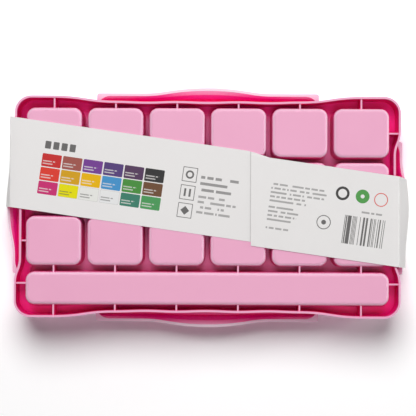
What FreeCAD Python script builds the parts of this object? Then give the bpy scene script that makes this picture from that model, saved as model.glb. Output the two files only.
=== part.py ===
import FreeCAD, Part

import math
import os

V = FreeCAD.Vector

# Gouache paint box: a moulded tray with wells for paint cups and brushes, a mixing
# palette, a lift-off lid with four finger lips, and a loose card sleeve round it all.
# Millimetres. +Z is up, the lid is on top and the brush well is on the -Y side.
# The origin is under the middle of the box, on the surface that it stands on.

SIZES = {
    # case tray, measured upwards from the plane of its well bottoms
    "case_length": 314.4,
    "case_width": 180.4,
    "case_height": 27.3,
    "case_corner_radius": 13.5,
    "skirt_wall": 1.7,
    "skirt_clearance": 1.0,
    "deck_thickness": 1.8,
    # finger recesses in the skirt
    "long_recess": 4.1,
    "long_wave": 0.65,
    "short_recess": 4.2,
    "short_recess_margin": 48.2,
    "short_recess_run": 20.0,
    # wells, set out at the deck from the case's edges
    "end_margin": 8.75,
    "back_margin": 9.1,
    "front_margin": 9.6,
    "column_gap": 3.1,
    "row_gap": 2.5,
    "brush_well_gap": 3.7,
    "brush_well_width": 28.2,
    "well_corner_radius": 8.0,
    "well_wall": 1.4,
    "well_floor": 1.4,
    "well_draft": 1.5,
    "well_edge_radius": 3.2,
    "rib_thickness": 1.3,
    "rib_setback": 0.8,
    "brush_rib_offset": 4.1,
    # rim: a tongue on the deck that the lid fits round, over a terraced underside
    "tongue_height": 6.0,
    "tongue_thickness": 1.2,
    "terrace_height": 0.9,
    "terrace_width": 2.2,
    # lid
    "lid_setback": 0.4,
    "lid_height": 18.3,
    "lid_wall": 1.6,
    "lid_clearance": 0.3,
    "lid_edge_radius": 3.0,
    "lid_panel_margin": 16.0,
    "lid_panel_depth": 0.6,
    # finger lips of the lid
    "lip_thickness": 1.5,
    "lip_band": 2.2,
    "lip_clearance": 0.4,
    "lip_rise": 3.0,
    "lip_drop": 6.3,
    "lip_root_reach": 2.6,
    "lip_root_bulge": 0.8,
    "lip_reach": 4.1,
    "lip_bulge": 4.6,
    "lip_corner_radius": 1.8,
    "lip_end_run": 9.0,
    "long_lip_margin": 65.2,
    "long_lip_shoulder": 39.0,
    "short_lip_margin": 35.2,
    "short_lip_shoulder": 14.0,
    # mixing palette
    "palette_clearance": 0.5,
    "palette_wall": 1.2,
    "palette_headroom": 2.0,
    "palette_end_margin": 18.7,
    "palette_side_margin": 20.2,
    "palette_gap": 7.5,
    "palette_well_radius": 14.0,
    "palette_well_draft": 12.0,
    "palette_well_clearance": 1.0,
    # paint cups and their filling
    "cup_clearance": 0.5,
    "cup_wall": 1.0,
    "cup_flange_thickness": 1.2,
    "cup_flange_overlap": 1.3,
    "cup_edge_radius": 2.0,
    "gouache_headspace": 3.0,
    "gouache_clearance": 0.1,
    # brushes
    "large_brush_length": 205.0,
    "large_brush_diameter": 7.0,
    "medium_brush_length": 198.0,
    "medium_brush_diameter": 6.4,
    "small_brush_length": 190.0,
    "small_brush_diameter": 5.8,
    "brush_gap": 0.3,
    "brush_spacing": 7.6,
    "brush_end_gap": 5.0,
    "ferrule_wall": 0.3,
    # card sleeve, a loop sheared so that it crosses the box at a slant
    "card_thickness": 0.35,
    "sleeve_width": 73.7,
    "sleeve_offset": 13.5,
    "sleeve_angle": 8.0,
    "sleeve_clearance": 0.3,
    "sleeve_slack": 3.4,
    "lap_offset": 35.2,
    "lap_length": 15.0,
    "lap_shift": 3.1,
    # how far every cut runs past what it cuts
    "overrun": 2.0,
}

# Two heights closer than this count as the same.
TOLERANCE = 1e-6

COLUMNS = 6
ROWS = 3
PALETTE_COLUMNS = 4
PALETTE_ROWS = 2

# Sizes that follow from others, so that wells, lips and basins keep to the case.
FORMULAS = {
    "column_pitch": f"(case_length - 2 * end_margin + column_gap) / {COLUMNS}",
    "well_length": "column_pitch - column_gap",
    "rows_depth": "case_width - back_margin - front_margin - brush_well_width - brush_well_gap",
    "row_pitch": f"(rows_depth + row_gap) / {ROWS}",
    "well_width": "row_pitch - row_gap",
    "rows_offset": "case_width / 2 - back_margin - rows_depth / 2",
    "brush_well_length": "case_length - 2 * end_margin",
    "brush_well_offset": "case_width / 2 - front_margin - brush_well_width / 2",
    "short_recess_length": "case_width - 2 * short_recess_margin",
    "long_lip_length": "case_length - 2 * long_lip_margin",
    "long_bulge_length": "long_lip_length - 2 * long_lip_shoulder",
    "short_lip_length": "case_width - 2 * short_lip_margin",
    "short_bulge_length": "short_lip_length - 2 * short_lip_shoulder",
    "palette_column_pitch": f"(case_length - 2 * palette_end_margin + palette_gap) / {PALETTE_COLUMNS}",
    "palette_well_length": "palette_column_pitch - palette_gap",
    "palette_row_pitch": f"(case_width - 2 * palette_side_margin + palette_gap) / {PALETTE_ROWS}",
    "palette_well_width": "palette_row_pitch - palette_gap",
}

# How much of a lip's swelling curve is taken by the hollow bend at its foot.
LIP_FOOT_SHARE = 0.35

# How a lip flares on its way down, as shares of its height and of its spread: little at first, then widely.
LIP_FLARE = ((0, 0), (0.5, 0.2), (0.82, 0.6), (1, 1))

# A brush's places along its length, and its diameters against its thickest place.
HANDLE_SHARE = 0.72
FERRULE_SHARE = 0.86
FERRULE_GRIP_SHARE = 0.4
HANDLE_TAIL_SHARE = 0.45
HANDLE_BELLY_SHARE = 0.55
HANDLE_NECK_SHARE = 0.72
FERRULE_MOUTH_SHARE = 0.9
HAIR_BELLY_SHARE = 0.95
HAIR_BELLY_PLACE_SHARE = 0.35
HAIR_TIP_SHARE = 0.12

doc = FreeCAD.newDocument("PaintBox")
sheet = doc.addObject("Spreadsheet::Sheet", "Sizes")
cells = {**SIZES, **{alias: f"={formula}" for alias, formula in FORMULAS.items()}}
for row, (alias, content) in enumerate(cells.items(), 1):
    sheet.set(f"A{row}", alias)
    sheet.set(f"B{row}", str(content))
    sheet.setAlias(f"B{row}", alias)
doc.recompute()


def size(alias):
    return float(sheet.get(alias))


# Expressions that more than one piece is bound to.
FOOT = "2 * Sizes.card_thickness"
LID_TOP = "(Sizes.case_height + Sizes.lid_height)"
PALETTE_TOP = f"({LID_TOP} - Sizes.lid_wall - Sizes.palette_headroom)"
PALETTE_FOOT = "(Sizes.case_height + Sizes.tongue_height)"
PALETTE_WELL_FOOT = "(Sizes.case_height + Sizes.cup_flange_thickness + Sizes.palette_well_clearance)"
CUP_FOOT = "(Sizes.well_floor + Sizes.cup_clearance)"
CUP_TOP = "(Sizes.case_height + Sizes.cup_flange_thickness)"

lid_inset = size("lid_setback") + size("lid_wall")
tongue_inset = lid_inset + size("lid_clearance")
palette_inset = lid_inset + size("palette_clearance")


def new_body(name):
    """A body standing on the plane of the well bottoms."""
    body = doc.addObject("PartDesign::Body", name)
    body.Label = name
    body.setExpression("Placement.Base.z", FOOT)
    return body


def new_sketch(body, name, height=None, plane="XY_Plane", turn=0):
    """A sketch on one of the body's own planes, raised by an expression and turned about its normal."""
    sketch = body.newObject("Sketcher::SketchObject", f"{body.Name}_{name}")
    support = next(f for f in body.Origin.OriginFeatures if f.Role == plane)
    sketch.AttachmentSupport = [(support, "")]
    sketch.MapMode = "FlatFace"
    sketch.AttachmentOffset = FreeCAD.Placement(V(), FreeCAD.Rotation(V(0, 0, 1), turn))
    if height:
        sketch.setExpression("AttachmentOffset.Base.z", height)
    return sketch


def grow(body, kind, name, sketch, length, down=False, draft=None):
    """A pad or pocket of a sketch, with its length and draft bound to the sheet."""
    feature = body.newObject(f"PartDesign::{kind}", f"{body.Name}_{name}")
    feature.Profile = sketch
    feature.setExpression("Length", length)
    feature.Reversed = down
    if draft:
        feature.setExpression("TaperAngle", draft)
    body.Tip = feature
    before = feature.BaseFeature.Shape.Volume if feature.BaseFeature else 0
    doc.recompute()
    gain = feature.Shape.Volume - before
    if (gain > 0) != (kind == "Pad"):
        raise RuntimeError(f"{feature.Name} changes the volume by {gain}")
    return feature


def round_edges(body, name, radius, chosen):
    """A fillet on the edges of the body's tip that chosen picks."""
    tip = body.Tip
    edges = [f"Edge{i}" for i, edge in enumerate(tip.Shape.Edges, 1) if chosen(edge)]
    fillet = body.newObject("PartDesign::Fillet", f"{body.Name}_{name}")
    fillet.Base = (tip, edges)
    fillet.setExpression("Radius", radius)
    body.Tip = fillet
    doc.recompute()
    return fillet


def lies_at(edge, height):
    box = edge.BoundBox
    return max(abs(box.ZMin - height), abs(box.ZMax - height)) < TOLERANCE


def rounded_rectangle(centre_x, centre_y, length, width, radius):
    """Lines and corner arcs of a rounded rectangle."""
    edges = []
    for turn in range(4):
        angle = math.pi / 2 * turn
        along, across = (length, width) if turn % 2 == 0 else (width, length)
        middle = V(centre_x, centre_y, 0)
        ahead = V(math.cos(angle), math.sin(angle), 0)
        left = V(-math.sin(angle), math.cos(angle), 0)
        start = middle - left * (across / 2) - ahead * (along / 2 - radius)
        end = middle - left * (across / 2) + ahead * (along / 2 - radius)
        hub = end + left * radius
        edges.append(Part.LineSegment(start, end))
        diagonal = (ahead - left).normalize()
        edges.append(Part.Arc(end, hub + diagonal * radius, hub + ahead * radius))
    return edges


def polygon(points):
    """Straight edges joining the points in a ring."""
    return [Part.LineSegment(V(*a, 0), V(*b, 0)) for a, b in zip(points, points[1:] + points[:1])]


class Trail:
    """An outline of lines and arcs that runs with its inside on the left, and can be set inwards."""

    def __init__(self, start):
        self.at = V(*start, 0)
        self.spans = []

    def line(self, x, y):
        end = V(x, y, 0)
        ahead = (end - self.at).normalize()
        inward = V(-ahead.y, ahead.x, 0)
        self.spans.append([(self.at, inward), (end, inward)])
        self.at = end

    def arc(self, hub, sweep):
        """An arc about hub through sweep radians, to the left if positive."""
        spoke = self.at - hub
        side = -1 if sweep > 0 else 1
        points = []
        for share in (0, 1 / 2, 1):
            turned = FreeCAD.Rotation(V(0, 0, 1), math.degrees(sweep * share)).multVec(spoke)
            points.append((hub + turned, turned.normalize() * side))
        self.spans.append(points)
        self.at = points[-1][0]

    def bend(self, ahead, run, rise, share=1 / 2):
        """Two arcs that move run along ahead and rise to its left, and leave in the same direction.
        The first arc takes share of the way."""
        left = V(-ahead.y, ahead.x, 0)
        end = self.at + ahead * run + left * rise
        radii = (run**2 + rise**2) / (2 * rise)
        sweep = math.copysign(2 * math.atan2(abs(rise), run), rise)
        self.arc(self.at + left * (radii * share), sweep)
        self.arc(end - left * (radii * (1 - share)), -sweep)

    def inset(self, distance):
        edges = []
        for span in self.spans:
            points = [point + inward * distance for point, inward in span]
            edges.append(Part.LineSegment(*points) if len(points) == 2 else Part.Arc(*points))
        return edges


def box_trail():
    """The skirt's outline: waved recesses in the long sides, plain ones in the short, round corners."""
    half_length = size("case_length") / 2
    half_width = size("case_width") / 2
    radius = size("case_corner_radius")
    pitch = size("column_pitch")
    wave = size("long_wave")
    short_half = size("short_recess_length") / 2
    run = size("short_recess_run")
    trail = Trail((-half_length + radius, -half_width))
    for turn in range(4):
        ahead = V(round(math.cos(math.pi / 2 * turn)), round(math.sin(math.pi / 2 * turn)), 0)
        left = V(-ahead.y, ahead.x, 0)
        along, across = (half_length, half_width) if turn % 2 == 0 else (half_width, half_length)
        side = -left * across
        if turn % 2 == 0:
            begin = side - ahead * (pitch * (COLUMNS - 1) / 2)
            trail.line(begin.x, begin.y)
            trail.bend(ahead, pitch, size("long_recess"))
            for crest in range(COLUMNS - 3):
                trail.bend(ahead, pitch / 2, wave)
                trail.bend(ahead, pitch / 2, -wave)
            trail.bend(ahead, pitch, -size("long_recess"))
        else:
            begin = side - ahead * (short_half + run)
            trail.line(begin.x, begin.y)
            trail.bend(ahead, run, size("short_recess"))
            flat = trail.at + ahead * (2 * short_half)
            trail.line(flat.x, flat.y)
            trail.bend(ahead, run, -size("short_recess"))
        end = side + ahead * (along - radius)
        trail.line(end.x, end.y)
        trail.arc(end + left * radius, math.pi / 2)
    return trail


def drawn_in(place, flat, run, depth):
    """How far a side is drawn in at this place along it, by a recess that takes run to reach its flat."""
    share = (flat / 2 + run - abs(place)) / run
    share = min(max(share, 0), 1)
    return depth * (2 * share**2 if share < 1 / 2 else 1 - 2 * (1 - share) ** 2)


def long_recess_at(x):
    pitch = size("column_pitch")
    return drawn_in(x, pitch * (COLUMNS - 3), pitch, size("long_recess"))


def short_recess_at(y):
    return drawn_in(y, size("short_recess_length"), size("short_recess_run"), size("short_recess"))


def column_places(count, pitch):
    return [pitch * (i - (count - 1) / 2) for i in range(count)]


OUTLINE = box_trail()
COLUMN_X = column_places(COLUMNS, size("column_pitch"))
ROW_Y = [size("rows_offset") + y for y in column_places(ROWS, size("row_pitch"))]
BRUSH_Y = -size("brush_well_offset")


def well_mouths(inset):
    """The 18 paint wells and the brush well at deck height, set inwards by inset."""
    radius = size("well_corner_radius") - inset
    edges = []
    for x in COLUMN_X:
        for y in ROW_Y:
            length = size("well_length") - 2 * inset
            edges += rounded_rectangle(x, y, length, size("well_width") - 2 * inset, radius)
    length = size("brush_well_length") - 2 * inset
    edges += rounded_rectangle(0, BRUSH_Y, length, size("brush_well_width") - 2 * inset, radius)
    return edges


def rib_boxes():
    """Plan of the thin ribs that tie the wells to the skirt and the last row to the brush well."""
    half_rib = size("rib_thickness") / 2
    slant = size("case_height") * math.tan(math.radians(size("well_draft")))
    bite = slant + size("well_wall") / 2
    skirt_y = size("case_width") / 2 - size("skirt_wall") / 2
    skirt_x = size("case_length") / 2 - size("skirt_wall") / 2
    row_half = size("well_width") / 2 - bite
    brush_half = size("brush_well_width") / 2 - bite
    last = COLUMNS - 1
    boxes = []
    for i, x in enumerate(COLUMN_X):
        recess = 0 if i in (0, last) else size("long_recess")
        spans = [
            (ROW_Y[-1] + row_half, skirt_y - recess),
            (-skirt_y + recess, BRUSH_Y - brush_half),
            (BRUSH_Y + brush_half, ROW_Y[0] - row_half),
        ]
        boxes += [(x - half_rib, low, x + half_rib, high) for low, high in spans]
    start = COLUMN_X[-1] + size("well_length") / 2 - bite
    for y in [*ROW_Y, BRUSH_Y + size("brush_rib_offset")]:
        end = skirt_x - short_recess_at(y)
        boxes.append((start, y - half_rib, end, y + half_rib))
        boxes.append((-end, y - half_rib, -start, y + half_rib))
    return boxes


def make_case():
    body = new_body("case_tray")
    block = new_sketch(body, "outline", "Sizes.skirt_clearance")
    block.addGeometry(OUTLINE.inset(0))
    grow(body, "Pad", "block", block, "Sizes.case_height - Sizes.skirt_clearance")
    hollow = new_sketch(body, "hollow_plan", "Sizes.skirt_clearance")
    hollow.addGeometry(OUTLINE.inset(size("skirt_wall")))
    depth = "Sizes.case_height - Sizes.skirt_clearance - Sizes.deck_thickness"
    grow(body, "Pocket", "hollow", hollow, depth, down=True)
    # two terraces run round the underside of the rim, each lower as it comes nearer to the wells
    for number in (1, 2):
        terrace = new_sketch(body, f"terrace_plan_{number}", "Sizes.case_height - Sizes.deck_thickness")
        for edge in (number, 3):
            terrace.addGeometry(OUTLINE.inset(size("skirt_wall") + edge * size("terrace_width")))
        grow(body, "Pad", f"terrace_{number}", terrace, f"Sizes.terrace_height * {number}", down=True)
    wells = new_sketch(body, "well_plan", "Sizes.case_height")
    wells.addGeometry(well_mouths(0))
    grow(body, "Pad", "wells", wells, "Sizes.case_height", down=True, draft="-Sizes.well_draft")
    round_edges(body, "well_edges", "Sizes.well_edge_radius", lambda edge: lies_at(edge, 0))
    ribs = new_sketch(body, "rib_plan", "Sizes.skirt_clearance + Sizes.rib_setback")
    for low_x, low_y, high_x, high_y in rib_boxes():
        ribs.addGeometry(polygon([(low_x, low_y), (high_x, low_y), (high_x, high_y), (low_x, high_y)]))
    rib_height = "Sizes.case_height - Sizes.skirt_clearance - Sizes.rib_setback - Sizes.deck_thickness / 2"
    grow(body, "Pad", "ribs", ribs, rib_height)
    mouths = new_sketch(body, "mouth_plan", "Sizes.case_height")
    mouths.addGeometry(well_mouths(size("well_wall")))
    depth = "Sizes.case_height - Sizes.well_floor"
    grow(body, "Pocket", "mouths", mouths, depth, draft="-Sizes.well_draft")
    tongue = new_sketch(body, "tongue_plan", "Sizes.case_height")
    tongue.addGeometry(OUTLINE.inset(tongue_inset))
    tongue.addGeometry(OUTLINE.inset(tongue_inset + size("tongue_thickness")))
    grow(body, "Pad", "tongue", tongue, "Sizes.tongue_height")
    return body


def lip_side(half_extent, foot, lip_length, bulge_length, spread, inner=False):
    """One side of a lip's plan, outside on +Y, from its one end along the bulge to the other.
    The foot is the line where it is nearest to the skirt; the spread is 0 at its root, 1 at its edge."""
    def spread_from(root, edge):
        return root + (edge - root) * spread

    band = size("lip_band") if inner else 0
    shoulder = spread_from(foot + size("lip_root_reach"), half_extent + size("lip_reach")) - band
    bulge = spread_from(size("lip_root_bulge"), size("lip_bulge"))
    half = lip_length / 2 - band
    ahead = V(-1, 0, 0)
    trail = Trail((half, foot))
    if inner:
        # the hollow side comes up from the foot in one slow curve
        run, rise = size("lip_end_run"), shoulder - foot
        radius, sweep = (run**2 + rise**2) / (2 * rise), 2 * math.atan2(rise, run)
    else:
        run = radius = size("lip_corner_radius")
        sweep = math.pi / 2
        trail.line(half, shoulder - radius)
    trail.arc(V(half - run, shoulder - radius, 0), sweep)
    trail.line(bulge_length / 2, shoulder)
    trail.bend(ahead, bulge_length / 2, -bulge, LIP_FOOT_SHARE)
    trail.bend(ahead, bulge_length / 2, bulge, 1 - LIP_FOOT_SHARE)
    trail.line(run - half, shoulder)
    trail.arc(V(run - half, shoulder - radius, 0), sweep)
    if not inner:
        trail.line(-half, foot)
    return trail


def lip_strip(*place):
    """Plan of a lip's curtain at one height."""
    sides = lip_side(*place), lip_side(*place, inner=True)
    edges = sides[0].inset(0) + sides[1].inset(0)
    for end in (0, -1):
        edges.append(Part.LineSegment(*(side.spans[end][end][0] for side in sides)))
    return edges


def add_lip(body, name, turn, half_extent, recess, end_recess, lip_length, bulge_length):
    """A roof that stands out from the lid's wall, and a curtain that hangs from it and flares downwards."""
    top = "Sizes.case_height + Sizes.lip_rise"
    foot = half_extent - end_recess + size("lip_clearance")
    place = half_extent, foot, lip_length, bulge_length
    roof = new_sketch(body, f"{name}_roof_plan", top, turn=turn)
    roof.addGeometry(lip_side(*place, 0).inset(0))
    inner = half_extent - recess - size("lid_wall")
    half = lip_length / 2
    back = [(-half, foot), (-half, inner), (half, inner), (half, foot)]
    roof.addGeometry(polygon(back)[:-1])
    grow(body, "Pad", f"{name}_roof", roof, "Sizes.lip_thickness", down=True)
    sections = []
    for number, (fall, spread) in enumerate(LIP_FLARE):
        height = f"{top} - (Sizes.lip_rise + Sizes.lip_drop) * {fall}"
        section = new_sketch(body, f"{name}_section_{number}", height, turn=turn)
        section.addGeometry(lip_strip(*place, spread))
        sections.append(section)
    curtain = body.newObject("PartDesign::AdditiveLoft", f"{body.Name}_{name}_curtain")
    curtain.Profile = sections[0]
    curtain.Sections = sections[1:]
    curtain.Ruled = True
    body.Tip = curtain
    doc.recompute()


def make_lid():
    body = new_body("lid")
    block = new_sketch(body, "outline", "Sizes.case_height")
    block.addGeometry(OUTLINE.inset(size("lid_setback")))
    grow(body, "Pad", "block", block, "Sizes.lid_height")
    top = size("case_height") + size("lid_height")
    round_edges(body, "top_edge", "Sizes.lid_edge_radius", lambda edge: lies_at(edge, top))
    panel = new_sketch(body, "panel_plan", LID_TOP)
    margin = size("lid_panel_margin")
    length, width = size("case_length") - 2 * margin, size("case_width") - 2 * margin
    panel.addGeometry(rounded_rectangle(0, 0, length, width, size("case_corner_radius")))
    grow(body, "Pocket", "panel", panel, "Sizes.lid_panel_depth")
    half_length = size("case_length") / 2
    half_width = size("case_width") / 2
    long_recess = size("long_recess") + size("long_wave")
    for name, turn in (("back_lip", 0), ("front_lip", 180)):
        length, bulge_length = size("long_lip_length"), size("long_bulge_length")
        end_recess = long_recess_at(length / 2)
        add_lip(body, name, turn, half_width, long_recess, end_recess, length, bulge_length)
    for name, turn in (("left_lip", 90), ("right_lip", -90)):
        length, bulge_length = size("short_lip_length"), size("short_bulge_length")
        end_recess = short_recess_at(length / 2)
        add_lip(body, name, turn, half_length, size("short_recess"), end_recess, length, bulge_length)
    hollow = new_sketch(body, "hollow_plan", "Sizes.case_height")
    hollow.addGeometry(OUTLINE.inset(lid_inset))
    grow(body, "Pocket", "hollow", hollow, "Sizes.lid_height - Sizes.lid_wall", down=True)
    return body


def make_palette():
    body = new_body("mixing_palette")
    block = new_sketch(body, "outline", PALETTE_FOOT)
    block.addGeometry(OUTLINE.inset(palette_inset))
    grow(body, "Pad", "block", block, f"{PALETTE_TOP} - {PALETTE_FOOT}")
    hollow = new_sketch(body, "hollow_plan", PALETTE_FOOT)
    hollow.addGeometry(OUTLINE.inset(palette_inset + size("palette_wall")))
    depth = f"{PALETTE_TOP} - {PALETTE_FOOT} - Sizes.palette_wall"
    grow(body, "Pocket", "hollow", hollow, depth, down=True)
    places = [
        (x, y)
        for x in column_places(PALETTE_COLUMNS, size("palette_column_pitch"))
        for y in column_places(PALETTE_ROWS, size("palette_row_pitch"))
    ]
    depth = f"{PALETTE_TOP} - {PALETTE_WELL_FOOT}"
    for kind, name, inset, depth in (
        ("Pad", "basins", 0, depth),
        ("Pocket", "hollows", size("palette_wall"), f"{depth} - Sizes.palette_wall"),
    ):
        plan = new_sketch(body, f"{name}_plan", PALETTE_TOP)
        for x, y in places:
            length = size("palette_well_length") - 2 * inset
            width = size("palette_well_width") - 2 * inset
            plan.addGeometry(rounded_rectangle(x, y, length, width, size("palette_well_radius") - inset))
        grow(body, kind, name, plan, depth, down=kind == "Pad", draft="-Sizes.palette_well_draft")
    return body


def place_in_well(body, column, row):
    pitch_x, pitch_y = column - (COLUMNS - 1) / 2, row - (ROWS - 1) / 2
    body.setExpression("Placement.Base.x", f"Sizes.column_pitch * {pitch_x}")
    body.setExpression("Placement.Base.y", f"Sizes.rows_offset + Sizes.row_pitch * {pitch_y}")


def cup_plan(inset):
    """A cup's plan at deck height, set inwards from its well's mouth."""
    inset += size("well_wall")
    length, width = size("well_length") - 2 * inset, size("well_width") - 2 * inset
    return rounded_rectangle(0, 0, length, width, size("well_corner_radius") - inset)


def make_cup(name, column, row):
    body = new_body(name)
    tub = new_sketch(body, "tub_plan", "Sizes.case_height")
    tub.addGeometry(cup_plan(size("cup_clearance")))
    grow(body, "Pad", "tub", tub, f"Sizes.case_height - {CUP_FOOT}", down=True, draft="-Sizes.well_draft")
    foot = size("well_floor") + size("cup_clearance")
    round_edges(body, "foot_edge", "Sizes.cup_edge_radius", lambda edge: lies_at(edge, foot))
    flange = new_sketch(body, "flange_plan", "Sizes.case_height")
    flange.addGeometry(cup_plan(-size("cup_flange_overlap")))
    grow(body, "Pad", "flange", flange, "Sizes.cup_flange_thickness")
    hollow = new_sketch(body, "hollow_plan", CUP_TOP)
    hollow.addGeometry(cup_plan(size("cup_clearance") + size("cup_wall")))
    depth = f"{CUP_TOP} - {CUP_FOOT} - Sizes.cup_wall"
    grow(body, "Pocket", "hollow", hollow, depth, draft="-Sizes.well_draft")
    place_in_well(body, column, row)
    return body


def make_gouache(name, column, row):
    body = new_body(name)
    level = f"{CUP_TOP} - Sizes.gouache_headspace"
    plan = new_sketch(body, "plan", level)
    fall = size("gouache_headspace") * math.tan(math.radians(size("well_draft")))
    plan.addGeometry(cup_plan(size("cup_clearance") + size("cup_wall") + size("gouache_clearance") + fall))
    depth = f"{level} - {CUP_FOOT} - Sizes.cup_wall"
    grow(body, "Pad", "fill", plan, depth, down=True, draft="-Sizes.well_draft")
    place_in_well(body, column, row)
    return body


def turned(name, grade, slot, profile):
    """A round piece of a brush: (place along X, radius) points turned about the brush's axis."""
    body = doc.addObject("PartDesign::Body", name)
    body.Label = name
    sketch = new_sketch(body, "profile", plane="XZ_Plane")
    sketch.addGeometry(polygon(profile))
    turn = body.newObject("PartDesign::Revolution", f"{name}_turn")
    turn.Profile = sketch
    turn.ReferenceAxis = (sketch, ["H_Axis"])
    body.Tip = turn
    start = "-Sizes.brush_well_length / 2 + Sizes.well_wall + Sizes.brush_end_gap"
    body.setExpression("Placement.Base.x", start)
    body.setExpression("Placement.Base.y", f"-Sizes.brush_well_offset + Sizes.brush_spacing * {slot}")
    rest = f"{FOOT} + Sizes.well_floor + Sizes.brush_gap + Sizes.{grade}_brush_diameter / 2"
    body.setExpression("Placement.Base.z", rest)
    return body


def make_brush(grade, slot):
    """A brush lying along X in the brush well: handle, ferrule and hair."""
    length = size(f"{grade}_brush_length")
    radius = size(f"{grade}_brush_diameter") / 2
    wall = size("ferrule_wall")
    neck = length * HANDLE_SHARE
    mouth = length * FERRULE_SHARE
    grip = (mouth - neck) * FERRULE_GRIP_SHARE
    neck_radius = radius * HANDLE_NECK_SHARE
    mouth_radius = radius * FERRULE_MOUTH_SHARE
    handle = [
        (0, 0),
        (0, radius * HANDLE_TAIL_SHARE),
        (neck * HANDLE_BELLY_SHARE, radius),
        (neck, neck_radius),
        (neck, neck_radius - wall),
        (neck + grip, neck_radius - wall),
        (neck + grip, 0),
    ]
    ferrule = [
        (neck, neck_radius - wall),
        (neck, neck_radius),
        (neck + grip, neck_radius),
        (mouth, mouth_radius),
        (mouth, mouth_radius - wall),
        (neck + grip, neck_radius - wall),
    ]
    hair_length = length - mouth
    hair = [
        (neck + grip, 0),
        (neck + grip, neck_radius - wall),
        (mouth, mouth_radius - wall),
        (mouth + hair_length * HAIR_BELLY_PLACE_SHARE, mouth_radius * HAIR_BELLY_SHARE),
        (length, radius * HAIR_TIP_SHARE),
        (length, 0),
    ]
    pieces = {"handle": handle, "ferrule": ferrule, "hair": hair}
    return [turned(f"{grade}_brush_{piece}", grade, slot, points) for piece, points in pieces.items()]


def card_wall(points):
    """A run of card through inner corner points, with its thickness on the right, mitred at the bends."""
    thick = size("card_thickness")
    points = [V(*p, 0) for p in points]
    outer = []
    for i, point in enumerate(points):
        normals = []
        for a, b in zip(points[max(i - 1, 0):i + 2], points[max(i - 1, 0) + 1:i + 2]):
            ahead = (b - a).normalize()
            normals.append(V(ahead.y, -ahead.x, 0))
        total = normals[0] + normals[-1]
        outer.append(point + total * (thick / total.dot(normals[0])))
    return polygon([(p.x, p.y) for p in points + outer[::-1]])


def make_sleeve():
    """The card loop, with its two ends lapped on the underside."""
    body = new_body("card_sleeve")
    thick = size("card_thickness")
    gap = size("sleeve_clearance")
    half_width = size("sleeve_width") / 2
    half_length = size("case_length") / 2
    crease_left = half_length + size("sleeve_slack")
    crease_right = -half_length - gap
    side = half_length + size("lip_reach") + size("lip_bulge") + gap
    lip_low = size("case_height") - size("lip_drop")
    lip_high = size("case_height") + size("lip_rise")
    top = size("case_height") + size("lid_height")
    shoulder = half_length - size("lid_setback") + gap
    lap = -size("lap_offset")
    tail = size("lap_length")
    loop = new_sketch(body, "loop_section", plane="XZ_Plane")
    loop.addGeometry(
        card_wall(
            [
                (crease_left - tail, 0),
                (crease_left, 0),
                (side, lip_low),
                (side, lip_high),
                (shoulder, top),
                (-shoulder, top),
                (-side, lip_high),
                (-side, lip_low),
                (crease_right, -thick),
                (crease_right + tail, -thick),
            ]
        )
    )
    tube = body.newObject("PartDesign::Pad", "card_sleeve_tube")
    tube.Profile = loop
    tube.SideType = "Symmetric"
    tube.setExpression("Length", "Sizes.case_width + 2 * Sizes.overrun")
    body.Tip = tube
    doc.recompute()
    slope = math.tan(math.radians(size("sleeve_angle")))
    far = side + size("overrun")

    def middle(x, shift):
        return size("sleeve_offset") + slope * x - shift

    left_mid = middle(crease_left, 0)
    right_mid = middle(crease_right, size("lap_shift"))
    lean = (left_mid - right_mid) / (crease_left - crease_right)
    ends = [(x, left_mid + lean * (x - crease_left)) for x in (far, -far)]
    trim = new_sketch(body, "trim_plan")
    reach = size("case_width")
    for sign in (1, -1):
        near = [(x, y + sign * half_width) for x, y in ends]
        trim.addGeometry(polygon([*near, (-far, sign * reach), (far, sign * reach)]))
    cut = body.newObject("PartDesign::Pocket", "card_sleeve_trim")
    cut.Profile = trim
    cut.Type = "ThroughAll"
    cut.SideType = "Symmetric"
    body.Tip = cut
    doc.recompute()
    # the under flap comes from the left side, and the outer flap laps over it from the right
    for name, start, end, shift, height in (
        ("under_flap", lap - tail, crease_left, 0, "-Sizes.card_thickness"),
        ("outer_flap", crease_right, lap, size("lap_shift"), "-2 * Sizes.card_thickness"),
    ):
        plan = new_sketch(body, f"{name}_plan", height)
        low = [(x, middle(x, shift) - half_width) for x in (start, end)]
        high = [(x, middle(x, shift) + half_width) for x in (end, start)]
        if name == "under_flap":
            # its tail is cut off at a slant, so that it stays under the lap
            high[-1:] = [(lap, middle(lap, 0) + half_width), (start, high[-1][1] - size("lap_shift"))]
        plan.addGeometry(polygon(low + high))
        grow(body, "Pad", name, plan, "Sizes.card_thickness")
    return body


bodies = [make_case(), make_lid(), make_palette(), make_sleeve()]
for row in range(ROWS):
    for column in range(COLUMNS):
        number = f"{row * COLUMNS + column + 1:02d}"
        bodies.append(make_cup(f"paint_cup_{number}", column, ROWS - 1 - row))
        bodies.append(make_gouache(f"gouache_{number}", column, ROWS - 1 - row))
for slot, grade in enumerate(("large", "medium", "small"), -1):
    bodies += make_brush(grade, slot)
doc.recompute()

for item in doc.Objects:
    if {"Invalid", "Error"} & set(item.State):
        raise RuntimeError(f"{item.Name} failed: {item.State}")
for body in bodies:
    shape = body.Shape
    if shape.isNull() or not shape.isValid() or len(shape.Solids) != 1:
        raise RuntimeError(f"{body.Label} is not one valid solid")
os.makedirs("parts", exist_ok=True)
for body in bodies:
    body.Shape.exportStep(f"parts/{body.Label}.step")
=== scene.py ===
import math
import random

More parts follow.
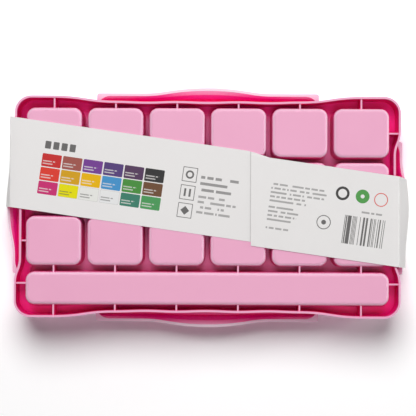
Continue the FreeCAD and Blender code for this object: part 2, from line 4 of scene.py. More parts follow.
import bmesh
import bpy
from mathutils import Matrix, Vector


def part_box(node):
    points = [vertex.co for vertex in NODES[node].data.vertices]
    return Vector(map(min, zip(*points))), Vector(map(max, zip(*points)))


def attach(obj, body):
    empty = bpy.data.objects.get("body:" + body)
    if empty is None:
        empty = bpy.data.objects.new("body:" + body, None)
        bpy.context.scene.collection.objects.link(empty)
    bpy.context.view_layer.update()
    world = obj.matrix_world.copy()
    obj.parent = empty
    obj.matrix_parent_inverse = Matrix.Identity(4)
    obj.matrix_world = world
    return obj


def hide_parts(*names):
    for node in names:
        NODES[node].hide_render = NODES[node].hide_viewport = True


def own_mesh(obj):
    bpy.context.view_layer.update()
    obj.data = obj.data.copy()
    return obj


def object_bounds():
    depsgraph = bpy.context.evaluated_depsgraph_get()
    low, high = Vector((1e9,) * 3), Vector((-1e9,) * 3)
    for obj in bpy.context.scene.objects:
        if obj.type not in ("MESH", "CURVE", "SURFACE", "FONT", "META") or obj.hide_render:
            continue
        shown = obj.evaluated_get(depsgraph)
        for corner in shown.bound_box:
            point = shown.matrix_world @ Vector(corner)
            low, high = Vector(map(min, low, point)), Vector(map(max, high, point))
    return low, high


# Gouache paint box seen from below: a pink moulded tray, a lid with finger lips behind
# it, and a slanting white card sleeve. Metres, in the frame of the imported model.

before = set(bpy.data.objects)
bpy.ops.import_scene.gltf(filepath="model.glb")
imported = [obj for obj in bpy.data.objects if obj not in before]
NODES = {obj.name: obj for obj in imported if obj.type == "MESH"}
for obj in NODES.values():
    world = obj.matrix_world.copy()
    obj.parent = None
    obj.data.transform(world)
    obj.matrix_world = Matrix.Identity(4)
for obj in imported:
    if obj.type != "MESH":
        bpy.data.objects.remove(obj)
CAD_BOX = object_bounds()

# The paints in the order of the cups: each one's slot, and a plain colour that suits its name, in sRGB.
PAINTS = {
    "paint_red": (204, 51, 51),
    "paint_russet": (164, 90, 82),
    "paint_violet": (120, 66, 150),
    "paint_ultramarine": (88, 66, 124),
    "paint_plum": (86, 60, 92),
    "paint_black": (52, 52, 52),
    "paint_vermilion": (227, 66, 52),
    "paint_ochre": (218, 165, 32),
    "paint_yellow": (255, 186, 0),
    "paint_blue": (73, 151, 208),
    "paint_green": (76, 145, 65),
    "paint_brown": (111, 78, 55),
    "paint_rose": (207, 52, 118),
    "paint_lemon": (238, 230, 0),
    "paint_ivory": (250, 246, 235),
    "paint_white": (245, 245, 245),
    "paint_viridian": (64, 130, 109),
    "paint_leaf": (79, 157, 93),
}
COLUMNS = 6
ROWS = 3
GRADES = ("large", "medium", "small")

SHARP_ANGLE = math.radians(40)

# Sleeve: the card, where it creases, and how it crosses the box.
CARD = 0.00035
SLEEVE_WIDTH = 0.0737
SLEEVE_OFFSET = 0.0135
SLEEVE_SLANT = math.radians(8)
LAP_X = -0.0352
LAP_TAIL = 0.015
LAP_SHIFT = 0.0031
LAP_SHADE = 0.0007
CREASE_LEFT = 0.1606
CREASE_RIGHT = -0.1556
CREASE_RADIUS = 0.0008
SIDE_SHOULDER = 0.1637
SIDE_BULGE = 0.0028
BULGE_REACH = 0.041
SLEEVE_STEP = 0.006
SLEEVE_ACROSS = 18

# Paste in the cups and hair tufts of the brushes.
PASTE_DIP, PASTE_WAVE, PASTE_CLIMB = 0.0006, 0.00025, 0.0004
PASTE_CORNER, PASTE_TAPER, PASTE_POINTS = 0.0056, 0.0006, 64
TUFT_ROOT, FERRULE_WALL = 0.002, 0.0004
TUFT_POINTS, TUFT_STEPS = 60, 26

# Print on the underside of the sleeve, in millimetres along and down its slanting lines.
CARD_WHITEST = 0.87
CHART_LEFT, CHART_TOP = -139.25, -24.55
SWATCH_PITCH_U, SWATCH_PITCH_V = 16.9, 11.3
SWATCH_U, SWATCH_V, SWATCH_CORNER = 15.85, 10.55, 0.9
INK, INK_SHARE = (52, 50, 50), 0.86
HEAVY_SHARE, BAR_SHARE, SMALL_SHARE = 0.75, 0.62, 0.6
BAR_FALL, BAR_STEP, HEAVY_STEP, SMALL_STEP = (0.06, 0.5), 1.3, 1.7, 0.9
BAR_GAP = 0.2
STRIPE_STEP = 0.5
# a row of blocks: left, top, pitch, height and count
BLOCKS = (-138.7, -34.4, 6.7, 6.2, 4)
FRAME_HALF, FRAME_LINE = 6.0, 0.55
FRAME_RING, FRAME_BARS, FRAME_DIAMOND = (3.4, 2.0), (2.0, 0.8, 3.2), 3.6
FRAMES = ((-17.9, -23.9), (-17.9, -9.2), (-17.9, 5.5))
# rows of bars: left, top, width, count and pitch of the rows
HEAVY_BARS = (-8.6, -24.6, 34.0, 3, 5.1)
MIDDLE_BARS = (-8.6, -8.4, 36.0, 4, 4.2)
SIDE_BARS = ((49.0, -27.2, 46.0, 5, 3.4), (49.0, -8.4, 33.0, 4, 3.4), (49.0, 8.6, 21.0, 1, 3.4))
SHORT_BARS = (124.4, -14.6, 22.0, 1, 3.4)
# rings: middle, line and colour
RINGS = ((107.0, -26.6, 2.0, 70, 68, 68), (123.4, -26.4, 4.0, 88, 160, 84), (138.6, -25.8, 0.7, 222, 84, 74))
RING_RADIUS = 5.6
EYE, EYE_LINE = (95.0, -1.2, 5.8), 0.7
# chance stripes: left, top, width and height
STRIPES = (111.5, -9.6, 33.5, 23.0)

# Pinks of the plastic, as sRGB values: the skin with its flow marks, a painted highlight on rounded edges
# and on a lip's thin edge, painted shade on the deck between the wells, and painted shade in the folds along
# the skirt, deep as if lit only through the plastic.
FLOW_PINKS = ((246, 175, 208), (251, 183, 214))
EDGE_HIGHLIGHT_PINK = (253, 203, 227)
LIP_HIGHLIGHT_PINK = (248, 226, 238)
DECK_SHADE_PINK = (230, 118, 172)
FOLD_SHADE_PINK = (255, 10, 150)
PLASTIC_GLOSS = 0.2
# how far the occlusion looks that sets where shade is painted
SHELTER_REACH = 0.022

# Where the painted shade of the deck between the wells gives way to the painted shade of the folds along the
# skirt.
DECK_EDGE_X, DECK_EDGE_Y = (0.141, 0.149), (0.070, 0.080)

# Where the painted shade on the lips lightens towards their ends, on the long sides and on the short ones.
LONG_LIP_FADE, LONG_LIP_STOP = (0.035, 0.085), (0.1, 0.12)
SHORT_LIP_FADE, SHORT_LIP_START = (0.018, 0.045), (0.13, 0.14)
LIP_END_SHADE_CUT = 0.22

# White sheets under and over the box, and the studio's light on it.
SHEET_REACH = 3.0
SHEET_FADE = (0.35, 0.9)
FLOOR_WHITE, TABLE_WHITE = 1.25, 1.62
TABLE_GAP = 0.001
STUDIO_FILL = 0.08

# Lamps: name, place, aim, width and power. Those below light the photograph's view.
LAMPS = (
    ("key_below", (0.15, 1.05, -1.7), (0, 0, 0), 1.4, 29),
    ("front_below", (-0.1, -0.4, -2.1), (0, 0, 0), 0.6, 8),
    ("side_below", (-1.8, 0.3, -0.2), (0, 0, 0.02), 0.6, 13),
    ("key_above", (-0.4, 1.2, 1.7), (0, 0, 0.03), 0.6, 40),
    ("front_above", (0.5, -2.0, 0.5), (0, 0, 0.03), 0.6, 9),
    ("side_above", (1.8, -0.2, 0.5), (0, 0, 0.03), 0.6, 8),
    ("inside_front", (0.3, -1.6, 0.8), (0, 0, 0.08), 0.6, 26),
)

# Camera, fitted to the photograph: it looks up at the underside.
CAMERA_AT = Vector((-0.0010, -0.0239, -1.1))
CAMERA_AIM = Vector((-0.00038, -0.00096, 0))
CAMERA_ROLL = math.radians(0.26)
SENSOR = 36.0
FOCAL_SHARE = 1355.6 / 416


def srgb(red, green, blue):
    """A colour given in sRGB steps of 0 to 255, as the linear values that shaders take."""
    def linear(step):
        value = step / 255
        return value / 12.92 if value <= 0.04045 else ((value + 0.055) / 1.055) ** 2.4
    return linear(red), linear(green), linear(blue), 1.0


class Wire:
    """A shader socket that takes part in sums, so that shader maths reads as plain arithmetic."""

    def __init__(self, finish, socket):
        self.finish = finish
        self.socket = socket

    def math(self, operation, *others):
        inputs = {i: value for i, value in enumerate((self, *others))}
        return self.finish.node("Math", {"operation": operation}, inputs)

    def __add__(self, other):
        return self.math("ADD", other)

    def __sub__(self, other):
        return self.math("SUBTRACT", other)

    def __rsub__(self, other):
        return self.finish.node("Math", {"operation": "SUBTRACT"}, {0: other, 1: self})

    def __mul__(self, other):
        return self.math("MULTIPLY", other)

    def __truediv__(self, other):
        return self.math("DIVIDE", other)

    __radd__ = __add__
    __rmul__ = __mul__

    def above(self, other):
        return self.math("GREATER_THAN", other)

    def below(self, other):
        return self.math("LESS_THAN", other)

    def between(self, low, high):
        return self.above(low) * self.below(high)

    def floor(self):
        return self.math("FLOOR")

    def part(self):
        return self.math("FRACT")

    def size(self):
        return self.math("ABSOLUTE")


class NodeTree:
    """A tree of shader nodes, with the one method that adds nodes to it."""

    def __init__(self, tree):
        self.tree = tree

    def node(self, kind, settings=None, inputs=None, out=0):
        made = self.tree.nodes.new("ShaderNode" + kind)
        for key, value in (settings or {}).items():
            if key == "stops":
                self.set_stops(made.color_ramp, value)
            else:
                setattr(made, key, value)
        for key, value in (inputs or {}).items():
            self.feed(made.inputs[key], value)
        return Wire(self, made.outputs[out])

    def set_stops(self, ramp, stops):
        ramp.interpolation = "CONSTANT"
        while len(ramp.elements) < len(stops):
            ramp.elements.new(1)
        for element, (place, colour) in zip(ramp.elements, stops):
            element.position = place
            element.color = colour

    def feed(self, socket, value):
        if isinstance(value, Wire):
            self.tree.links.new(value.socket, socket)
        else:
            socket.default_value = value


class Finish(NodeTree):
    """One material, built up from nodes round its Principled shader."""

    def __init__(self, name, **constants):
        self.material = bpy.data.materials.new(name)
        self.material.use_nodes = True
        super().__init__(self.material.node_tree)
        self.shader = self.tree.nodes["Principled BSDF"]
        self.set(**constants)

    def set(self, **sockets):
        for key, value in sockets.items():
            self.feed(self.shader.inputs[key.replace("_", " ")], value)

    def spot(self):
        """The rest position on the piece, in metres."""
        return self.node("TexCoord", out="Object")

    def axes(self, vector):
        """A vector's X, Y and Z as wires."""
        split = self.node("SeparateXYZ", {}, {0: vector}).socket.node
        return [Wire(self, socket) for socket in split.outputs]

    def tilt(self):
        """The Z share of the surface's direction: 1 facing up, -1 facing down."""
        return self.axes(self.node("NewGeometry", out="Normal"))[2]

    def noise(self, spot, scale, detail=3.0):
        return self.node("TexNoise", {}, {"Vector": spot, "Scale": scale, "Detail": detail})

    def mix(self, share, first, second):
        return self.node("Mix", {"data_type": "RGBA"}, {0: share, 6: first, 7: second}, out=2)

    def ramp(self, value, low, high, to_low=0.0, to_high=1.0):
        settings = {"interpolation_type": "SMOOTHSTEP"}
        inputs = {"Value": value, "From Min": low, "From Max": high, "To Min": to_low, "To Max": to_high}
        return self.node("MapRange", settings, inputs)

    def bump(self, height, strength, distance):
        inputs = {"Height": height, "Strength": strength, "Distance": distance}
        return self.node("Bump", {}, inputs)


def pink_plastic(name, shade_full, shade_none, lips=False):
    """Satin polypropylene: faint flow mottling, a fine moulded grain, a painted highlight on rounded edges,
    and painted shade in a deeper pink where the moulding shelters itself, standing in for shade and for
    light that reaches the eye only through the plastic."""
    finish = Finish(name, Specular_IOR_Level=PLASTIC_GLOSS)
    spot = finish.spot()
    x, y, z = finish.axes(spot)
    cloud = finish.noise(spot, 35.0)
    grain = finish.noise(spot, 2600.0, 2.0)
    # ambient occlusion: where it is low, shade is painted into the base colour
    shelter = finish.node("AmbientOcclusion", {"samples": 8}, {"Distance": SHELTER_REACH}, out="AO")
    tilt = finish.tilt()
    flatness = tilt.size()
    # a painted highlight on rounded edges, where the surface turns between flat and upright
    rounded = finish.ramp(flatness, 0.35, 0.7) * finish.ramp(flatness, 0.86, 0.985, 1.0, 0.0)
    flow_pink = finish.mix(cloud, *[srgb(*pink) for pink in FLOW_PINKS])
    skin_pink = finish.mix(rounded, flow_pink, srgb(*EDGE_HIGHLIGHT_PINK))
    # painted shade: mauve on the deck between the wells, hot pink in the folds along the skirt
    inside = finish.ramp(x.size(), *DECK_EDGE_X, 1.0, 0.0) * finish.ramp(y.size(), *DECK_EDGE_Y, 1.0, 0.0)
    deck_shade_share = inside * finish.ramp(flatness, 0.6, 0.95, 0.45, 1.0)
    shade_pink = finish.mix(deck_shade_share, srgb(*FOLD_SHADE_PINK), srgb(*DECK_SHADE_PINK))
    if lips:
        # painted shade on a lip lightens towards its ends, and a painted highlight along its thin edge
        # stands in for light let through the plastic
        long_ends = finish.ramp(x.size(), *LONG_LIP_FADE) * finish.ramp(x.size(), *LONG_LIP_STOP, 1.0, 0.0)
        short_ends = finish.ramp(y.size(), *SHORT_LIP_FADE) * finish.ramp(x.size(), *SHORT_LIP_START)
        # a painted highlight on the lip's edge, where it faces down and is open
        lip_highlight = finish.ramp(shelter, 0.58, 0.76) * tilt.below(-0.3)
        skin_pink = finish.mix(lip_highlight, skin_pink, srgb(*LIP_HIGHLIGHT_PINK))
        # painted shade cut back at the lip ends, so that they show paler
        shelter = shelter + (long_ends + short_ends) * LIP_END_SHADE_CUT
    finish.set(
        # painted shade where the occlusion is low, the lit skin where it is high
        Base_Color=finish.mix(finish.ramp(shelter, shade_full, shade_none), shade_pink, skin_pink),
        Roughness=finish.ramp(cloud, 0.3, 0.7, 0.36, 0.46),
        Normal=finish.bump(grain, 0.1, 0.0002),
    )
    return finish.material


def white_plastic(name, gloss):
    """A smooth white moulding, faintly mottled."""
    finish = Finish(name)
    spot = finish.spot()
    cloud = finish.noise(spot, 60.0)
    grain = finish.noise(spot, 1800.0, 2.0)
    finish.set(
        Base_Color=finish.mix(cloud, srgb(238, 238, 236), srgb(247, 247, 246)),
        Roughness=finish.ramp(cloud, 0.3, 0.7, gloss, gloss + 0.08),
        Normal=finish.bump(grain, 0.06, 0.0002),
    )
    return finish.material


def wet_paint(name, colour):
    """Thick gouache: a satin paste, a little uneven in tone and gloss."""
    finish = Finish(name, Specular_IOR_Level=0.35)
    spot = finish.spot()
    swirl = finish.noise(spot, 120.0, 4.0)
    shade = tuple(c * 0.82 for c in colour[:3]) + (1.0,)
    finish.set(
        Base_Color=finish.mix(finish.ramp(swirl, 0.35, 0.7), shade, colour),
        Roughness=finish.ramp(swirl, 0.3, 0.7, 0.38, 0.55),
        Normal=finish.bump(swirl, 0.15, 0.0004),
    )
    return finish.material


def birch(name):
    """Lacquered handle wood with grain along the brush."""
    finish = Finish(name, Coat_Weight=0.4)
    stretched = finish.node("Mapping", {}, {"Vector": finish.spot(), "Scale": (12.0, 400.0, 400.0)})
    grain = finish.noise(stretched, 3.0, 5.0)
    finish.set(
        Base_Color=finish.mix(grain, srgb(222, 186, 136), srgb(243, 218, 178)),
        Roughness=finish.ramp(grain, 0.3, 0.7, 0.3, 0.42),
        Normal=finish.bump(grain, 0.1, 0.0002),
    )
    return finish.material


def ferrule_metal(name):
    """Drawn aluminium tube with fine rings round it."""
    finish = Finish(name, Metallic=1.0)
    stretched = finish.node("Mapping", {}, {"Vector": finish.spot(), "Scale": (900.0, 40.0, 40.0)})
    rings = finish.noise(stretched, 2.0, 2.0)
    finish.set(
        Base_Color=finish.mix(rings, srgb(205, 206, 210), srgb(232, 233, 236)),
        Roughness=finish.ramp(rings, 0.3, 0.7, 0.18, 0.3),
        Normal=finish.bump(rings, 0.1, 0.0001),
    )
    return finish.material


def brush_hair(name):
    """Brown filaments, streaked paler and darker along their length."""
    finish = Finish(name)
    stretched = finish.node("Mapping", {}, {"Vector": finish.spot(), "Scale": (30.0, 2500.0, 2500.0)})
    strands = finish.noise(stretched, 1.0, 3.0)
    finish.set(
        Base_Color=finish.mix(strands, srgb(84, 48, 26), srgb(150, 98, 56)),
        Roughness=finish.ramp(strands, 0.3, 0.7, 0.4, 0.6),
        Normal=finish.bump(strands, 0.4, 0.0003),
    )
    return finish.material


def box_mask(du, dv, half_u, half_v, corner):
    """1 inside a rounded box whose middle is at du = dv = 0."""
    over_u = (du.size() - (half_u - corner)).math("MAXIMUM", 0.0)
    over_v = (dv.size() - (half_v - corner)).math("MAXIMUM", 0.0)
    return (over_u * over_u + over_v * over_v).below(corner * corner)


def dot_mask(du, dv, radius):
    """1 inside a disc whose middle is at du = dv = 0."""
    return (du * du + dv * dv).below(radius * radius)


def lines_mask(finish, u, v, left, top, width, lines, pitch, step=BAR_STEP):
    """Plain bars in rows with ragged ends."""
    down = (v - top) / pitch
    row = down.floor()
    along = u - left
    seed = row + (left + top)
    cell = finish.node("CombineXYZ", {}, {0: (along / step).floor(), 1: seed})
    chance = finish.node("TexWhiteNoise", {"noise_dimensions": "2D"}, {"Vector": cell})
    ragged = finish.node("TexWhiteNoise", {"noise_dimensions": "1D"}, {"W": seed})
    bars = down.between(0, lines) * down.part().between(*BAR_FALL) * chance.above(BAR_GAP)
    return bars * along.above(0) * along.below((ragged * 0.4 + 0.6) * width)


def stripe_mask(finish, u, v, left, top, width, height):
    """Upright stripes whose widths fall by chance."""
    along = u - left
    chance = finish.node("TexWhiteNoise", {"noise_dimensions": "1D"}, {"W": (along / STRIPE_STEP).floor()})
    return along.between(0, width) * (v - top).between(0, height) * chance.above(0.5)


def printed_tint(paint):
    """A paint's colour in print, no whiter than the card."""
    return [min(c, CARD_WHITEST) for c in srgb(*paint)[:3]] + [1.0]


def swatch_chart(finish, u, v, colour):
    """Six by three swatches of the paints, each with small pale bars."""
    across, down = (u - CHART_LEFT) / SWATCH_PITCH_U, (v - CHART_TOP) / SWATCH_PITCH_V
    du, dv = (across.part() - 0.5) * SWATCH_PITCH_U, (down.part() - 0.5) * SWATCH_PITCH_V
    chart = across.between(0, COLUMNS) * down.between(0, ROWS)
    swatch = chart * box_mask(du, dv, SWATCH_U / 2, SWATCH_V / 2, SWATCH_CORNER)
    small_bars = chart * lines_mask(finish, du, dv, -SWATCH_U / 2 + 1.0, 0.2, 12.0, 2, 2.1, SMALL_STEP)
    for row in range(ROWS):
        paints = list(PAINTS.values())[row * COLUMNS:(row + 1) * COLUMNS]
        stops = [(i / COLUMNS, printed_tint(paint)) for i, paint in enumerate(paints)]
        tint = finish.node("ValToRGB", {"stops": stops}, {0: across / COLUMNS})
        colour = finish.mix(swatch * down.between(row, row + 1), colour, tint)
    pale = finish.node("RGBToBW", {}, {0: colour}).above(0.62)
    bar_tint = finish.mix(pale, srgb(244, 240, 238), srgb(80, 76, 76))
    outline = swatch - chart * box_mask(du, dv, SWATCH_U / 2 - 0.25, SWATCH_V / 2 - 0.25, SWATCH_CORNER)
    colour = finish.mix(outline * pale * 0.5, colour, srgb(170, 166, 164))
    return finish.mix(small_bars * SMALL_SHARE, colour, bar_tint)


def sleeve_print(finish, u, v, colour):
    """All the printing on the sleeve's underside, over the card's own colour."""
    colour = swatch_chart(finish, u, v, colour)
    left, top, pitch, height, count = BLOCKS
    along = (u - left) / pitch
    block = box_mask((along.part() - 0.5) * pitch, v - (top + height / 2), pitch * 0.36, height / 2, 0.6)
    ink = block * along.between(0, count)
    ink += lines_mask(finish, u, v, *HEAVY_BARS, step=HEAVY_STEP) * HEAVY_SHARE
    for bars in (MIDDLE_BARS, *SIDE_BARS, SHORT_BARS):
        ink += lines_mask(finish, u, v, *bars) * BAR_SHARE
    ink += stripe_mask(finish, u, v, *STRIPES)
    for shape, (middle_u, middle_v) in enumerate(FRAMES):
        du, dv = u - middle_u, v - middle_v
        inner = FRAME_HALF - FRAME_LINE
        ink += box_mask(du, dv, FRAME_HALF, FRAME_HALF, 0.5) - box_mask(du, dv, inner, inner, 0.4)
        if shape == 0:
            ink += dot_mask(du, dv, FRAME_RING[0]) - dot_mask(du, dv, FRAME_RING[1])
        elif shape == 1:
            apart, half_bar, half_tall = FRAME_BARS
            ink += (du.size() - apart).size().below(half_bar) * dv.size().below(half_tall)
        else:
            ink += (du.size() + dv.size()).below(FRAME_DIAMOND)
    middle_u, middle_v, radius = EYE
    du, dv = u - middle_u, v - middle_v
    ink += dot_mask(du, dv, radius) - dot_mask(du, dv, radius - EYE_LINE) + dot_mask(du, dv, radius / 3)
    colour = finish.mix(ink.math("MINIMUM", 1.0) * INK_SHARE, colour, srgb(*INK))
    for middle_u, middle_v, line, *tint in RINGS:
        du, dv = u - middle_u, v - middle_v
        ring = dot_mask(du, dv, RING_RADIUS) - dot_mask(du, dv, RING_RADIUS - line)
        colour = finish.mix(ring, colour, srgb(*tint))
    return colour


def coated_card(name):
    """White coated card with a faint tooth, printed on the side that faces down."""
    finish = Finish(name, Specular_IOR_Level=0.15)
    spot = finish.spot()
    x, y, z = finish.axes(spot)
    fibre = finish.noise(spot, 900.0, 4.0)
    cloud = finish.noise(spot, 25.0)
    card_white = finish.mix(cloud, srgb(241, 238, 237), srgb(246, 244, 243))
    along, aside = math.cos(SLEEVE_SLANT) * 1000, math.sin(SLEEVE_SLANT) * 1000
    u, v = x * -along - y * aside, x * aside - y * along
    underside = z.below(CARD * 1.4) * finish.tilt().below(-0.5)
    printed = sleeve_print(finish, u, v, card_white)
    # a thin shade on the under flap along the lap's cut edge
    printed = finish.mix((x - LAP_X).between(0.0, LAP_SHADE) * 0.6, printed, srgb(176, 172, 172))
    finish.set(
        Base_Color=finish.mix(underside, card_white, printed),
        Roughness=finish.ramp(cloud, 0.3, 0.7, 0.5, 0.6),
        Normal=finish.bump(fibre, 0.1, 0.0001),
    )
    return finish.material


def piece_from(mesh_maker, name, body, material):
    """A new piece whose mesh is built by mesh_maker, riding on a body: smooth but for its sharp edges."""
    build = bmesh.new()
    mesh_maker(build)
    bmesh.ops.recalc_face_normals(build, faces=build.faces)
    for edge in build.edges:
        edge.smooth = edge.calc_face_angle(0) < SHARP_ANGLE
    mesh = bpy.data.meshes.new(name)
    build.to_mesh(mesh)
    build.free()
    for face in mesh.polygons:
        face.use_smooth = True
    piece = bpy.data.objects.new(name, mesh)
    bpy.context.scene.collection.objects.link(piece)
    mesh.materials.append(material)
    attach(piece, body)
    return piece


def skin(build, rings, closed=True):
    """Faces between rings of vertices that have equal counts."""
    count = len(rings[0])
    steps = count if closed else count - 1
    for near, far in zip(rings, rings[1:]):
        for i in range(steps):
            j = (i + 1) % count
            build.faces.new((near[i], near[j], far[j], far[i]))


def rounded_run(points, radius, step):
    """Places along a bent strip: straight runs cut into steps, with small arcs at the bends."""
    trail = [Vector(points[0])]
    for before, bend, after in zip(points, points[1:], points[2:]):
        before, bend, after = Vector(before), Vector(bend), Vector(after)
        into, out = (bend - before).normalized(), (after - bend).normalized()
        turn = into.angle(out)
        reach = radius * math.tan(turn / 2)
        start, end = bend - into * reach, bend + out * reach
        pieces = max(1, round((start - trail[-1]).length / step))
        last = trail[-1]
        trail += [last.lerp(start, i / pieces) for i in range(1, pieces + 1)]
        for share in (0.25, 0.5, 0.75, 1.0):
            low, high = start.lerp(bend, share), bend.lerp(end, share)
            trail.append(low.lerp(high, share))
    pieces = max(1, round((Vector(points[-1]) - trail[-1]).length / step))
    last = trail[-1]
    return trail + [last.lerp(Vector(points[-1]), i / pieces) for i in range(1, pieces + 1)]


def make_sleeve(material):
    """The card band: it starts under the lap, runs round the box and ends in the outer flap."""
    low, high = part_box("lid")
    side_low, side_high = low.z, low.z + (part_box("case_tray")[1].z - low.z) * 0.75
    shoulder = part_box("case_tray")[1].x
    top = high.z + CARD / 2
    under, outer = CARD * 1.5, CARD / 2
    bends = [
        (LAP_X - LAP_TAIL, under),
        (CREASE_LEFT, under),
        (SIDE_SHOULDER, side_low),
        (SIDE_SHOULDER, side_high),
        (shoulder, top),
        (-shoulder, top),
        (-SIDE_SHOULDER, side_high),
        (-SIDE_SHOULDER, side_low),
        (CREASE_RIGHT, outer),
        (LAP_X, outer),
    ]
    trail = rounded_run(bends, CREASE_RADIUS, SLEEVE_STEP)
    slope = math.tan(SLEEVE_SLANT)

    def flap_middle(x, shift):
        return SLEEVE_OFFSET + slope * x - shift

    left_middle = flap_middle(CREASE_LEFT, 0)
    right_middle = flap_middle(CREASE_RIGHT, LAP_SHIFT)
    lean = (left_middle - right_middle) / (CREASE_LEFT - CREASE_RIGHT)

    def middle(x, z, on_under_flap):
        if z > CARD * 2:
            return left_middle + lean * (x - CREASE_LEFT)
        return flap_middle(x, 0 if on_under_flap else LAP_SHIFT)

    def bulge(y):
        """How far the finger lip pushes the card out at this place along the short side."""
        return SIDE_BULGE * math.cos(min(abs(y) / BULGE_REACH, 1) * math.pi / 2) ** 2

    def place(i, share, spot):
        """The place on the strip at step i, at this share of its width."""
        rise = min(max(spot.y, 0), side_low) / side_low
        fall = min(max((top - spot.y) / (top - side_high), 0), 1)
        x, z, under_flap = spot.x, spot.y, i < len(trail) // 2
        y = middle(x, z, under_flap) + SLEEVE_WIDTH * (share - 0.5)
        if under_flap:
            # the tail under the lap is cut off at a slant
            y -= share * LAP_SHIFT * min(max((LAP_X - x) / LAP_TAIL, 0), 1)
        if abs(x) > abs(CREASE_RIGHT) and 0 < fall:
            x += math.copysign(bulge(y) * rise * fall, x)
        return x, y, z

    def build_strip(build):
        rings = []
        for i, spot in enumerate(trail):
            ahead = trail[min(i + 1, len(trail) - 1)] - trail[max(i - 1, 0)]
            out = Vector((ahead.y, -ahead.x)).normalized() * CARD / 2
            shares = [j / SLEEVE_ACROSS for j in range(SLEEVE_ACROSS + 1)]
            loop = [place(i, share, spot + out) for share in shares]
            loop += [place(i, share, spot - out) for share in reversed(shares)]
            rings.append([build.verts.new(corner) for corner in loop])
        skin(build, rings)
        for ring in (rings[0], rings[-1]):
            for j in range(SLEEVE_ACROSS):
                build.faces.new((ring[j], ring[j + 1], ring[-2 - j], ring[-1 - j]))

    sleeve = piece_from(build_strip, "card_sleeve_band", "sleeve", material)
    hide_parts("card_sleeve")
    return sleeve


def plan_ring(centre, half_x, half_y, radius, share, count):
    """Points round a rounded rectangle, drawn in towards its centre by share."""
    points = []
    for i in range(count):
        angle = 2 * math.pi * i / count
        ray = Vector((math.cos(angle), math.sin(angle)))
        corner = Vector((half_x - radius, half_y - radius))
        spot = Vector((math.copysign(corner.x, ray.x), math.copysign(corner.y, ray.y))) + ray * radius
        points.append(Vector((centre.x + spot.x * share, centre.y + spot.y * share)))
    return points


def make_gouache(node, cup, material, seed):
    """Paste with a soft swirled top that climbs a little at the walls."""
    low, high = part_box(node)
    centre = (low + high) / 2
    half_x, half_y = (high.x - low.x) / 2, (high.y - low.y) / 2
    chance = random.Random(seed)
    phase = [chance.uniform(0, 2 * math.pi) for _ in range(4)]
    shares = (0.1, 0.22, 0.34, 0.46, 0.58, 0.7, 0.8, 0.88, 0.94, 0.98, 1.0)

    def top(x, y, share):
        u, v = (x - centre.x) / half_x, (y - centre.y) / half_y
        spin = math.atan2(v, u)
        ripple = math.sin(5 * math.hypot(u, v) + 2 * spin + phase[0]) + 0.6 * math.sin(4 * u + phase[1])
        ripple += 0.6 * math.sin(5 * v + phase[2])
        calm = 1 - share**6
        return high.z - PASTE_DIP + PASTE_WAVE * ripple * calm + PASTE_CLIMB * share**10

    def build_paste(build):
        rings = []
        for share in shares:
            ring = plan_ring(centre, half_x, half_y, PASTE_CORNER, share, PASTE_POINTS)
            rings.append([build.verts.new((p.x, p.y, top(p.x, p.y, share))) for p in ring])
        foot = plan_ring(centre, half_x - PASTE_TAPER, half_y - PASTE_TAPER, PASTE_CORNER, 1.0, PASTE_POINTS)
        rings.append([build.verts.new((p.x, p.y, low.z)) for p in foot])
        skin(build, rings)
        build.faces.new(rings[-1])
        build.faces.new(rings[0])

    piece = piece_from(build_paste, f"{node}_paste", cup, material)
    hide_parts(node)
    return piece


def make_tuft(grade, material, seed):
    """A brush tuft: ridged filaments that swell out of the ferrule and close to a point."""
    node = f"{grade}_brush_hair"
    low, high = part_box(node)
    ferrule_low, ferrule_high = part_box(f"{grade}_brush_ferrule")
    centre = (low + high) / 2
    start = ferrule_high.x - TUFT_ROOT
    length = high.x - start
    root = (ferrule_high.z - ferrule_low.z) / 2 - FERRULE_WALL
    chance = random.Random(seed)
    ridge = [1 + 0.05 * math.sin(7 * i) + chance.uniform(-0.05, 0.05) for i in range(TUFT_POINTS)]

    def radius(share):
        swell = 1 + 0.06 * math.sin(math.pi * min(share / 0.6, 1))
        return root * swell * math.sqrt(max(1 - max(share - 0.15, 0) ** 1.7 / 0.85**1.7, 0.0025))

    def build_tuft(build):
        rings = []
        for k in range(TUFT_STEPS + 1):
            share = k / TUFT_STEPS
            ring = []
            for i in range(TUFT_POINTS):
                angle = 2 * math.pi * i / TUFT_POINTS
                depth = radius(share) * (1 + (ridge[i] - 1) * min(1, share * 5))
                y, z = math.cos(angle) * depth, math.sin(angle) * depth
                ring.append(build.verts.new((start + length * share, centre.y + y, centre.z + z)))
            rings.append(ring)
        skin(build, rings)
        build.faces.new(rings[0])
        build.faces.new(rings[-1])

    piece = piece_from(build_tuft, f"{grade}_brush_tuft", f"{grade}_brush", material)
    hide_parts(node)
    return piece


def dress(node, material):
    """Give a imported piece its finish."""
    NODES[node].material_slots[0].material = material
    return NODES[node]


def make_camera():
    """The photograph's view."""
    data = bpy.data.cameras.new("camera")
    data.sensor_width = SENSOR
    data.lens = SENSOR * FOCAL_SHARE
    camera = bpy.data.objects.new("camera", data)
    bpy.context.scene.collection.objects.link(camera)
    ahead = (CAMERA_AIM - CAMERA_AT).normalized()
    up = Vector((math.sin(CAMERA_ROLL), math.cos(CAMERA_ROLL), 0))
    right = ahead.cross(up).normalized()
    up = right.cross(ahead)
    turn = camera.matrix_world.to_3x3()
    turn.col[0], turn.col[1], turn.col[2] = right, up, -ahead
    camera.matrix_world = turn.to_4x4()
    camera.location = CAMERA_AT
    bpy.context.scene.camera = camera


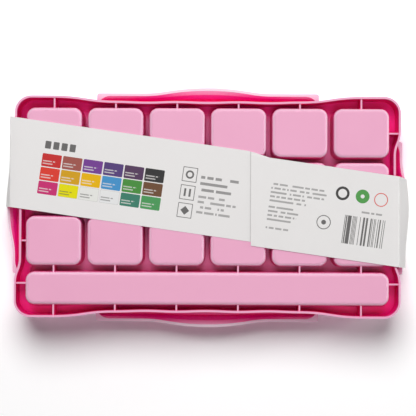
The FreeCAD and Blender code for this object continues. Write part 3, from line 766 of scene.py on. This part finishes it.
def make_light(name, at, aim, width, power):
    """A round lamp that the camera doesn't see."""
    data = bpy.data.lights.new(name, "AREA")
    data.shape = "DISK"
    data.size = width
    data.energy = power
    lamp = bpy.data.objects.new(name, data)
    bpy.context.scene.collection.objects.link(lamp)
    lamp.location = at
    lamp.rotation_euler = (Vector(aim) - Vector(at)).to_track_quat("-Z", "Y").to_euler()
    lamp.visible_camera = False
    return lamp


def link_lamp(lamp, pieces, state):
    """Make a lamp light these pieces alone, or all but these."""
    linked = bpy.data.collections.new(f"{lamp.name}_pieces")
    for piece in pieces:
        linked.objects.link(piece)
    for row in linked.collection_objects:
        row.light_linking.link_state = state
    lamp.light_linking.receiver_collection = linked


def stage_plane(name, height, faces_up, white):
    """A white sheet that shows from one side only, fades into the white studio round it and lets light
    through, but takes the box's shadow."""
    finish = Finish(name, Base_Color=(white, white, white, 1), Roughness=1.0, Specular_IOR_Level=0.0)
    x, y, z = finish.axes(finish.spot())
    fade = finish.ramp((x * x + y * y).math("SQRT"), *SHEET_FADE)
    hidden = finish.node("NewGeometry", out="Backfacing").math("MAXIMUM", fade)
    surface = Wire(finish, finish.shader.outputs[0])
    clear = finish.node("BsdfTransparent")
    shown = finish.node("MixShader", {}, {0: hidden, 1: surface, 2: clear})
    finish.feed(finish.tree.nodes["Material Output"].inputs["Surface"], shown)
    corners = [(-SHEET_REACH, -SHEET_REACH), (SHEET_REACH, -SHEET_REACH)]
    corners += [(SHEET_REACH, SHEET_REACH), (-SHEET_REACH, SHEET_REACH)]
    mesh = bpy.data.meshes.new(name)
    ring = corners if faces_up else corners[::-1]
    mesh.from_pydata([(*corner, height) for corner in ring], [], [(0, 1, 2, 3)])
    mesh.materials.append(finish.material)
    sheet = bpy.data.objects.new(name, mesh)
    bpy.context.scene.collection.objects.link(sheet)
    for ray in ("diffuse", "glossy", "transmission", "volume_scatter", "shadow"):
        setattr(sheet, f"visible_{ray}", False)
    return sheet


def make_world():
    """Air that is white to the eye and in reflections, but gives little light of its own."""
    world = bpy.data.worlds.new("studio")
    bpy.context.scene.world = world
    world.use_nodes = True
    studio = NodeTree(world.node_tree)
    kinds = ("Camera", "Glossy", "Transmission")
    camera, glossy, through = [studio.node("LightPath", out=f"Is {kind} Ray") for kind in kinds]
    seen = camera.math("MAXIMUM", glossy).math("MAXIMUM", through)
    air = studio.tree.nodes["Background"]
    studio.feed(air.inputs["Color"], (1, 1, 1, 1))
    studio.feed(air.inputs["Strength"], seen * (1 - STUDIO_FILL) + STUDIO_FILL)


# the two numbers are the occlusion levels at which the painted shade is full and where it is gone
tray_pink = pink_plastic("tray_pink", 0.42, 0.84)
lid_pink = pink_plastic("lid_pink", 0.28, 0.78, lips=True)
cup_white = white_plastic("cup_white", 0.4)
palette_white = white_plastic("palette_white", 0.2)
wood = birch("birch")
metal = ferrule_metal("ferrule_metal")
hair = brush_hair("brush_hair")
card = coated_card("coated_card")

dress("case_tray", tray_pink)
dress("lid", lid_pink)
contents = [dress("mixing_palette", palette_white)]
for index, (slot, colour) in enumerate(PAINTS.items()):
    number = f"{index + 1:02d}"
    contents.append(dress(f"paint_cup_{number}", cup_white))
    paint = wet_paint(slot, srgb(*colour))
    contents.append(make_gouache(f"gouache_{number}", f"cup_{number}", paint, index))
for index, grade in enumerate(GRADES):
    contents.append(dress(f"{grade}_brush_handle", wood))
    contents.append(dress(f"{grade}_brush_ferrule", metal))
    contents.append(make_tuft(grade, hair, index))
sleeve = make_sleeve(card)
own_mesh(sleeve)

make_camera()
make_world()
floor = stage_plane("floor", 0.0, True, FLOOR_WHITE)
table = stage_plane("table", CAD_BOX[1].z + TABLE_GAP, False, TABLE_WHITE)
# the box lies on its lid on the table, so the two part from the case together
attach(table, "lid")
lamps = {lamp[0]: make_light(*lamp) for lamp in LAMPS}
# the fill lamp would wash out the shadow on the sheets
link_lamp(lamps["front_below"], (floor, table), "EXCLUDE")
# what the box holds stands in the lifted lid's shade
link_lamp(lamps["inside_front"], contents, "INCLUDE")
bpy.context.scene.view_settings.view_transform = "Standard"
